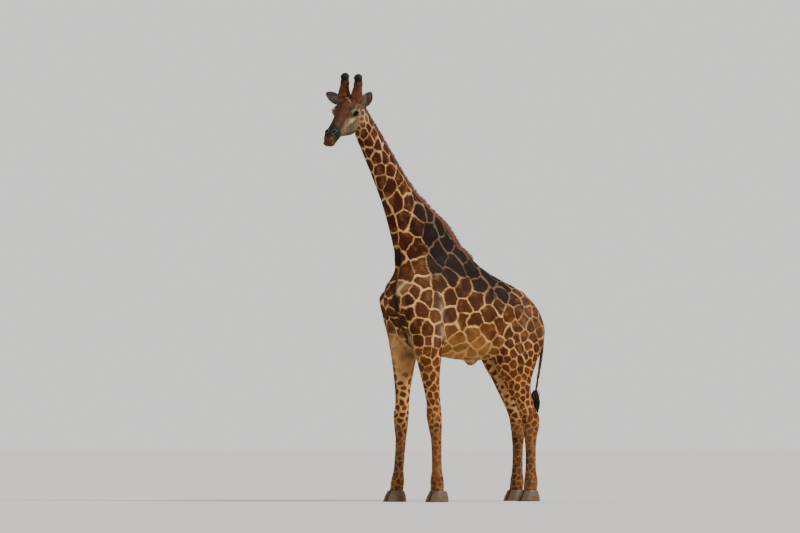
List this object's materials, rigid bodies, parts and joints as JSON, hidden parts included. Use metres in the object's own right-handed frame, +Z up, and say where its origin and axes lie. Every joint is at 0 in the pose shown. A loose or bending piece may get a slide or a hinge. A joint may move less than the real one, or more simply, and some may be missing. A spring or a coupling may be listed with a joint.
{
  "type": "giraffe",
  "caption": "Life-size still model of a standing bull giraffe, its head turned to its left, patched coat, upright mane and tasselled tail.",
  "frame": {"origin": "middle of the whole animal's box, on the floor under its hooves", "axes": "+Z up; the animal faces -Y; +X is its left side"},
  "size_m": [0.789, 3.473, 5.152],
  "materials": {
    "skin": "short hair in brown patches parted by tan lines",
    "horn_skin": "short reddish hair, black at the knobs",
    "mane": "stiff upright hair, reddish brown with dark tips",
    "tail_hair": "long coarse black hair",
    "eye": "wet, very dark brown",
    "hoof": "dull dark horn, paler at the sole"
  },
  "bodies": {
    "root": {"foreleg_left": "skin", "foreleg_right": "skin", "hindleg_left": "skin", "hindleg_right": "skin", "trunk": "skin", "neck": "skin", "ossicone_left": "horn_skin", "ear_left": "skin", "eye_left": "eye", "ossicone_right": "horn_skin", "ear_right": "skin", "eye_right": "eye", "head": "skin", "mane": "mane", "tail": "skin", "tail_tuft": "tail_hair", "sheath": "skin", "hoof_front_left_left": "hoof", "hoof_front_left_right": "hoof", "hoof_front_right_left": "hoof", "hoof_front_right_right": "hoof", "hoof_hind_left_left": "hoof", "hoof_hind_left_right": "hoof", "hoof_hind_right_left": "hoof", "hoof_hind_right_right": "hoof"}
  },
  "joints": []
}
